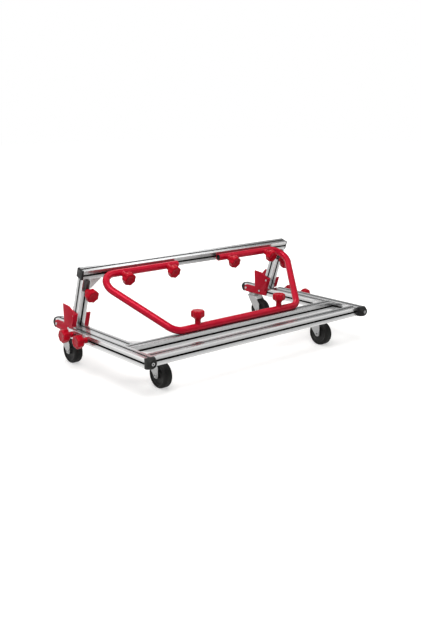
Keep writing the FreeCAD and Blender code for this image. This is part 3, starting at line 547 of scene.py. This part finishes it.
softened("clamp_plates", "chassis", CLAMP_STEEL, "zinc_steel", BLOCK_EDGE)
for corner in CORNERS:
    softened("fork_" + corner, "caster_" + corner, ZINC, "zinc_steel", FORK_EDGE, 3)


# Star knobs

def threaded_stud(length):
    """A steel stud with a thread all the way down."""
    pitch = 1.25
    radius = 4.0
    root = 3.55
    tip = 3.4
    crest_end, valley, crest_start = 0.3, 0.62, 0.95
    short = 1
    deep = 1000 * length - short
    line = [(0, 0), (radius, 0)]
    for turn in range(int(deep / pitch)):
        top = -pitch * turn
        line += [(radius, top - crest_end), (root, top - valley), (radius, top - crest_start)]
    return turned(line + [(tip, -deep), (0, -deep)], STEEL, steps=20)


def star_knobs():
    """Fluted heads on waisted necks, one piece for each knob's body."""
    head = turned([
        (0, 22.0), (22.5, 22.0), (24.5, 23.0, 0.2), (26.6, 25.0, 0.7), (27.7, 28.0, 1), (28.0, 32.0, 1),
        (28.0, 43.0, 1), (27.7, 45.6, 1), (26.5, 47.8, 0.9), (24.4, 49.2, 0.7), (21.0, 49.9, 0.4),
        (16.0, 50.0, 0.1), (15.0, 49.6), (14.0, 49.3), (7.0, 49.5), (0, 49.6),
    ], RED_PLASTIC, steps=84, lobes=7, depth=0.115)
    neck = turned([
        (0, 0), (11.4, 0), (12.0, 0.6), (12.0, 7.0), (11.8, 10.0), (12.8, 13.0), (15.5, 16.5), (19.0, 19.8),
        (22.0, 22.0), (23.6, 23.4), (23.8, 24.5), (0, 24.5),
    ], RED_PLASTIC, steps=48)
    studs = {kind: threaded_stud(length) for kind, (rise, length) in KNOB_SEATS.items()}
    for name in joints:
        if name.endswith("_turn"):
            node_name = name[:-len("_turn")]
            kind = node_name.split("_")[0]
            out = Vector(joints[name]["axis"])
            seat = standing(Vector(joints[name]["pos_m"]) + out * KNOB_SEATS[kind][0], out)
            shapes = [(head, seat), (neck, seat), (studs[kind], seat)]
            assemble("star_" + node_name, node_name + "_body", shapes, "red_plastic", node_name)


# Casters

def mirrored(half):
    """A closed line from one half's (radius, side) points, the other half mirrored."""
    return half + [(radius, -side) for radius, side in reversed(half)] + [half[0]]


def casters():
    """Tyres, wheel cores, axle bolts with a black disc as painted shade in their sockets, and swivel races,
    four times.
    """
    tyre = turned(mirrored([
        (42.0, -18.9), (44.0, -19.0), (45.0, -18.9), (45.6, -18.4), (46.4, -18.4), (47.0, -18.4),
        (48.8, -17.7), (50.7, -16.1), (52.0, -14.1), (52.75, -11.9), (52.95, -10.1), (52.2, -9.7),
        (52.2, -8.7), (53.0, -8.3), (53.0, -3.0),
    ]), BLACK_RUBBER, steps=96)
    core = turned(mirrored([
        (5.05, -20.9), (11.8, -21.0), (12.8, -20.5), (13.0, -19.5), (13.4, -13.0), (15.0, -10.4),
        (18.0, -9.3), (31.0, -8.9), (34.0, -9.8), (36.5, -13.2), (38.5, -14.8), (41.4, -15.2), (41.95, -14.5),
    ]), BLACK_WHEEL, steps=80)
    bolt = turned([
        (0, -26.4), (3.7, -26.4), (3.9, -28.8), (4.4, -29.4), (6.2, -29.4), (7.8, -28.4), (8.5, -26.6),
        (8.5, -24.6), (5.0, -24.6), (5.0, 24.6), (8.5, 24.6, 1), (8.5, 27.9, 1), (8.1, 28.6, 1),
        (6.2, 28.8, 1), (5.0, 28.9), (4.6, 29.3), (0, 29.4),
    ], ZINC, steps=48, lobes=6, depth=0.134)
    # A black disc at the bottom of the axle bolt's socket, as painted shade in the recess
    sunk = turned([(0, -26.6), (3.7, -26.6), (3.7, -26.3), (0, -26.3)], BLACK_PLASTIC, steps=24)
    race = turned([
        (6.0, 0), (25.2, 0), (26.0, -0.8), (26.0, -3.2), (25.0, -4.6), (22.6, -5.4), (22.0, -6.2),
        (22.6, -7.0), (25.0, -7.8), (26.0, -9.2), (26.0, -10.8), (24.8, -12.0), (6.0, -12.0), (6.0, 0),
    ], ZINC, steps=72)
    places = []
    for corner in CORNERS:
        hub = Vector(joints["roll_" + corner]["pos_m"])
        lying = standing(hub, (1, 0, 0))
        caster, roller = "caster_" + corner, "roller_" + corner
        assemble("rubber_tyre_" + corner, roller, [(tyre, lying)], "black_tyre", "tyre_" + corner)
        assemble("wheel_core_" + corner, roller, [(core, lying)], "black_plastic", "wheel_" + corner)
        bolted = [(bolt, lying), (sunk, lying)]
        assemble("axle_bolt_" + corner, caster, bolted, "zinc_steel", "axle_" + corner)
        pin = Vector(joints["swivel_" + corner]["pos_m"])
        places.append((race, Matrix.Translation((pin.x, pin.y, RAIL_BOTTOM))))
    assemble("swivel_races", "chassis", places, "zinc_steel", "caster_heads")


# Screws and buffers

def screw_rows():
    """Round socket screws, set on every seat of a body at once."""
    line = [
        (0, -11.0), (2.4, -11.0), (3.0, -10.4), (3.0, 0), (5.2, 0), (5.5, 0.3), (5.5, 1.2), (5.1, 2.3),
        (4.3, 3.1), (3.3, 3.5), (2.5, 3.6), (2.2, 3.5, 1), (2.1, 3.2, 1), (2.1, 1.5, 1), (0, 1.3),
    ]
    master = bpy.data.objects.new("screw_master", turned(line, STEEL, steps=48, lobes=6, depth=0.134))
    master.data.shade_smooth()
    master.data.set_sharp_from_angle(angle=math.radians(SHARP_ANGLE))
    holders = []
    brackets = []
    fronts = []
    steep = Matrix.Rotation(LEAN, 3, "X")
    upper = LEANING @ Vector((0, PROFILE / 2, UPPER_SCREW_HEIGHT))
    arm = (INNER_FAR - ARM_SCREW_INSET, RAIL_MIDDLE)
    foot = (FOOT_FRONT + BODY_SCREW_REACH, RAIL_MIDDLE)
    for side in (-1, 1):
        for out in (-1, 1):
            x = side * INNER_MIDDLE + out * (PROFILE / 2 + PLATE_THICK)
            for y, z in (arm, foot, upper[1:]):
                holders.append(((x, y, z), (out, 0, 0)))
        inside = side * (INNER_MIDDLE - PROFILE / 2)
        wall, reach = side * BRACKET_WALL, side * BRACKET_SCREW_OUT
        brackets.append(((inside - reach, CROSS_BACK + BRACKET_WALL, RAIL_MIDDLE), (0, 1, 0)))
        brackets.append(((inside - wall, CROSS_BACK + BRACKET_SCREW_OUT, RAIL_MIDDLE), (-side, 0, 0)))
        under = LEANING @ Vector((inside - reach, PROFILE / 2, UPRIGHT_LENGTH - BRACKET_WALL))
        brackets.append((tuple(under), tuple(steep @ Vector((0, 0, -1)))))
        beside = LEANING @ Vector((inside - wall, PROFILE / 2, UPRIGHT_LENGTH - BRACKET_SCREW_OUT))
        brackets.append((tuple(beside), (-side, 0, 0)))
        inner = side * (HALF_WIDTH - PROFILE)
        fronts.append(((inner - reach, FRONT_BACK + BRACKET_WALL, RAIL_MIDDLE), (0, 1, 0)))
        fronts.append(((inner - wall, FRONT_BACK + BRACKET_SCREW_OUT, RAIL_MIDDLE), (-side, 0, 0)))
    rows = (
        ("holder_screws", "chassis", holders),
        ("bracket_screws", "chassis", brackets),
        ("front_bracket_screws", "bumper_frame", fronts),
    )
    for name, body, seats in rows:
        places = [place for place, out in seats]
        ways = [out for place, out in seats]
        grown = SETTING.grow(places, facing=ways, Screw=master, Finish=STEEL)
        assemble("socket_" + name, body, [(grown, Matrix())], "zinc_steel", name)
    bpy.data.objects.remove(master)


def buffers():
    """Rubber noses on the rail ends, each with a sunk ring-headed screw whose socket holds a black disc as
    painted shade.
    """
    ring = turned([
        (0, 0.5), (3.0, 0.5), (3.0, 25.0), (6.3, 25.0), (6.5, 25.2), (6.5, 27.6), (6.1, 28.3),
        (5.3, 28.5), (4.2, 28.5), (3.7, 28.2), (3.6, 27.8), (3.6, 26.4), (0, 26.4), (0, 0.5),
    ], STEEL, steps=48)
    # A black disc at the bottom of the ring screw's socket, as painted shade in the recess
    socket = turned([(0, 26.2), (3.6, 26.2), (3.6, 26.6), (0, 26.6), (0, 26.2)], BLACK_PLASTIC, steps=32)
    for name, body, x, y, out in (
        ("buffer", "bumper_frame", SIDE_MIDDLE, SIDE_FRONT, -1),
        ("rear_buffer", "chassis", INNER_MIDDLE, INNER_FAR, 1),
    ):
        softened(name + "s", body, BLACK_RUBBER, "black_rubber", PLATE_EDGE)
        ends = [standing((side * x, y, RAIL_MIDDLE), (0, out, 0)) for side in (-1, 1)]
        shapes = [(shape, end) for end in ends for shape in (ring, socket)]
        assemble("ring_" + name + "_screws", body, shapes, "zinc_steel", name + "_screws")


star_knobs()
casters()
screw_rows()
buffers()


# Floor, light and camera

def build_floor():
    """A pale floor that keeps the shadow near the object and fades to white further out."""
    bpy.ops.mesh.primitive_plane_add(size=FLOOR_SIZE, location=(0, 0, 0))
    floor = bpy.context.object
    floor.name = "floor"
    material, nodes, links, shader = fresh_material("floor_white")
    shader.inputs["Base Color"].default_value = (*FLOOR_TONE, 1)
    shader.inputs["Roughness"].default_value = 0.9
    shader.inputs["Specular IOR Level"].default_value = 0.0
    lift = node(nodes, "Emission")
    lift.inputs["Color"].default_value = (1, 1, 1, 1)
    path = node(nodes, "LightPath").outputs
    seen = measure(nodes, links, "MAXIMUM", path["Is Camera Ray"], path["Is Glossy Ray"])
    distance = node(nodes, "VectorMath", operation="LENGTH")
    links.new(node(nodes, "TexCoord").outputs["Object"], distance.inputs[0])
    fade = spread(nodes, links, distance.outputs["Value"], *FLOOR_LIFT, *FLOOR_FADE)
    links.new(measure(nodes, links, "MULTIPLY", seen, fade), lift.inputs["Strength"])
    both = node(nodes, "AddShader")
    links.new(shader.outputs[0], both.inputs[0])
    links.new(lift.outputs[0], both.inputs[1])
    links.new(both.outputs[0], nodes["Material Output"].inputs["Surface"])
    floor.data.materials.append(material)


def build_world():
    """A white studio whose far right side is dimmer where metal mirrors it."""
    world = bpy.data.worlds.new("studio")
    bpy.context.scene.world = world
    world.use_nodes = True
    nodes, links = world.node_tree.nodes, world.node_tree.links
    path = node(nodes, "LightPath").outputs
    mirrored_rays = measure(nodes, links, "MAXIMUM", path["Is Glossy Ray"], path["Is Transmission Ray"])
    side = towards(nodes, links, node(nodes, "TexCoord").outputs["Generated"], BRIGHT_SIDE)
    studio = spread(nodes, links, side, DIM_STUDIO, BRIGHT_STUDIO, *STUDIO_TURN)
    lighting = node(nodes, "Mix")
    links.new(mirrored_rays, lighting.inputs[0])
    lighting.inputs[2].default_value = SCATTERED_LEVEL
    links.new(studio, lighting.inputs[3])
    level = node(nodes, "Mix")
    links.new(path["Is Camera Ray"], level.inputs[0])
    links.new(lighting.outputs[0], level.inputs[2])
    level.inputs[3].default_value = 1.0
    background = nodes["Background"]
    background.inputs["Color"].default_value = (1, 1, 1, 1)
    links.new(level.outputs[0], background.inputs["Strength"])


def area_light(name, place, target, size, power, mirrored_too=True):
    """A square lamp that faces its target, and that metal may mirror."""
    data = bpy.data.lights.new(name, "AREA")
    data.size = size
    data.energy = power
    lamp = bpy.data.objects.new(name, data)
    bpy.context.collection.objects.link(lamp)
    lamp.visible_glossy = mirrored_too
    lamp.location = place
    lamp.rotation_euler = (Vector(target) - Vector(place)).to_track_quat("-Z", "Y").to_euler()


def build_camera():
    """The photo's own view."""
    data = bpy.data.cameras.new("camera")
    data.sensor_fit = "VERTICAL"
    data.sensor_height = SENSOR_HEIGHT
    data.lens = FOCAL_PIXELS / PHOTO_HEIGHT * SENSOR_HEIGHT
    camera = bpy.data.objects.new("camera", data)
    bpy.context.collection.objects.link(camera)
    camera.location = CAMERA_PLACE
    camera.rotation_euler = (math.pi / 2 - CAMERA_DIP, 0, CAMERA_TURN)
    bpy.context.scene.camera = camera


build_floor()
build_world()
area_light("key", place=(-1.5, -1.2, 2.9), target=(0, 0, 0.2), size=2.4, power=118)
area_light("fill", place=(2.4, -1.6, 2.2), target=(0, 0, 0.2), size=2.4, power=18)
area_light("top", place=(0.3, 1.1, 2.8), target=(0, 0, 0.3), size=2.8, power=44, mirrored_too=False)
area_light("rim", place=(1.9, 1.8, 3.0), target=(0, 0, 0.4), size=1.2, power=12)
build_camera()
bpy.context.scene.view_settings.view_transform = "Standard"
